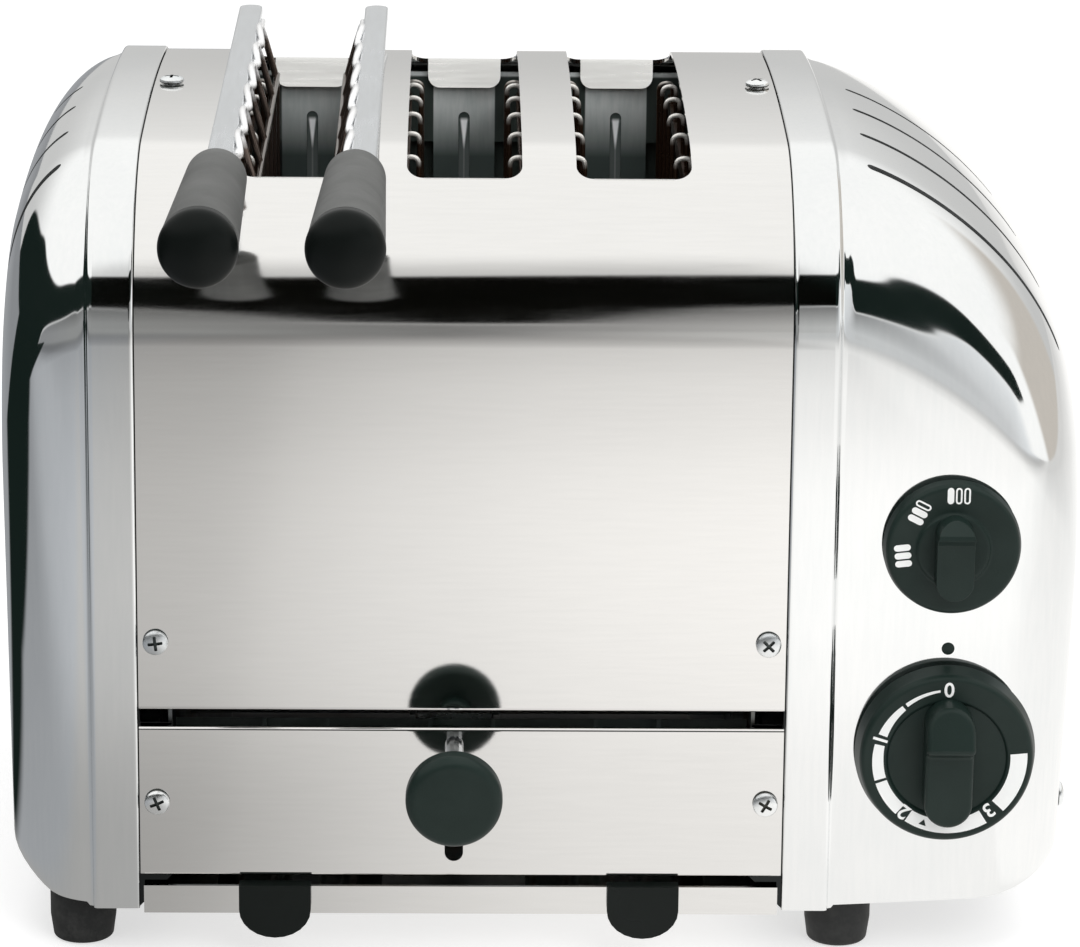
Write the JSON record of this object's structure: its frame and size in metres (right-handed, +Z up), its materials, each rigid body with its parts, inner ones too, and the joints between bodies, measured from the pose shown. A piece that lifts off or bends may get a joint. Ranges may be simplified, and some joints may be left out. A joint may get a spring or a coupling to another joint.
{
  "type": "toaster",
  "caption": "Polished metal slot toaster with rounded end castings, a clockwork dial, a slot selector, a lever that lifts the bread and a hinged wire sandwich cage in one slot.",
  "frame": {"origin": "middle of the whole toaster's box, on the ground under the feet", "axes": "+X right along the row of slots, +Y from the front panel to the back, +Z up"},
  "size_m": [0.292, 0.3186, 0.2327],
  "materials": {
    "cast_metal": "polished die casting",
    "steel": "polished stainless sheet",
    "inner_steel": "plain rolled sheet, slightly heat-dulled",
    "wire": "bright drawn wire",
    "element": "mica board wound with a flat ribbon",
    "knob_plastic": "satin black moulding",
    "handle_plastic": "matte charcoal moulding",
    "rubber": "matte black rubber",
    "zinc": "zinc-plated steel",
    "case_plastic": "dark switch moulding"
  },
  "bodies": {
    "chassis": {"end_casting_right": "cast_metal", "end_casting_left": "cast_metal", "body_cover": "steel", "lower_front_panel": "steel", "lower_rear_panel": "steel", "base_plate": "inner_steel", "foot_front_left": "rubber", "foot_front_right": "rubber", "foot_rear_left": "rubber", "foot_rear_right": "rubber", "side_plate_right": "inner_steel", "side_plate_left": "inner_steel", "end_plate_rear": "inner_steel", "end_plate_front": "inner_steel", "heating_element_1": "element", "heating_element_2": "element", "heating_element_3": "element", "heating_element_4": "element", "wire_guard_1_right": "wire", "wire_guard_1_left": "wire", "wire_guard_2_right": "wire", "wire_guard_2_left": "wire", "wire_guard_3_right": "wire", "wire_guard_3_left": "wire", "guide_rod_left": "zinc", "guide_rod_right": "zinc", "ejector_bracket": "inner_steel", "timer_case": "inner_steel", "selector_case": "case_plastic", "cord_bush": "rubber", "screw_front_upper_left": "zinc", "screw_front_upper_right": "zinc", "screw_front_lower_left": "zinc", "screw_front_lower_right": "zinc", "screw_rear_upper_left": "zinc", "screw_rear_upper_right": "zinc", "screw_rear_lower_left": "zinc", "screw_rear_lower_right": "zinc", "screw_top_left": "zinc", "screw_top_right": "zinc", "screw_side_right": "zinc"},
    "ejector": {"ejector_carriage": "zinc", "ejector_knob": "knob_plastic"},
    "rocker": {"rocker": "zinc"},
    "lifter": {"lift_beam": "inner_steel", "bread_rack_1": "inner_steel", "bread_rack_2": "inner_steel", "bread_rack_3": "inner_steel"},
    "timer": {"timer_knob": "knob_plastic", "timer_shaft": "zinc"},
    "selector": {"selector_knob": "knob_plastic", "selector_shaft": "zinc"},
    "tray": {"crumb_tray": "steel", "tray_grip_left": "knob_plastic", "tray_grip_right": "knob_plastic"},
    "cage": {"cage_half_left": "wire", "cage_handle_left": "handle_plastic", "cage_rod": "zinc"},
    "cage_right": {"cage_half_right": "wire", "cage_handle_right": "handle_plastic"}
  },
  "joints": [
    {"name": "ejector_slide", "type": "slide", "parent": "chassis", "child": "ejector", "axis": [0, 0, -1], "range_m": [0, 0.028]},
    {"name": "rocker_pivot", "type": "hinge", "parent": "chassis", "child": "rocker", "pos_m": [-0.02365, 0.00625, 0.0441], "axis": [1, 0, 0], "range_deg": [0, 34.26]},
    {"name": "lifter_slide", "type": "slide", "parent": "chassis", "child": "lifter", "axis": [0, 0, 1], "range_m": [0, 0.0281]},
    {"name": "timer_turn", "type": "hinge", "parent": "chassis", "child": "timer", "pos_m": [0.10845, -0.05325, 0.0597], "axis": [0, 1, 0], "range_deg": [0, 270]},
    {"name": "selector_turn", "type": "hinge", "parent": "chassis", "child": "selector", "pos_m": [0.10865, -0.05325, 0.1173], "axis": [0, 1, 0], "range_deg": [0, 97]},
    {"name": "tray_slide", "type": "slide", "parent": "chassis", "child": "tray", "axis": [0, -1, 0], "range_m": [0, 0.19]},
    {"name": "cage_lift", "type": "slide", "parent": "chassis", "child": "cage", "axis": [0, 0, 1], "range_m": [0, 0.13]},
    {"name": "cage_close", "type": "hinge", "parent": "cage", "child": "cage_right", "pos_m": [-0.06675, 0.05175, 0.104], "axis": [0, -1, 0], "range_deg": [0, 6]}
  ],
  "couplings": [
    {"joint": "rocker_pivot", "follows": "ejector_slide", "rad_per_m": 21.321},
    {"joint": "lifter_slide", "follows": "ejector_slide", "ratio": 1}
  ]
}
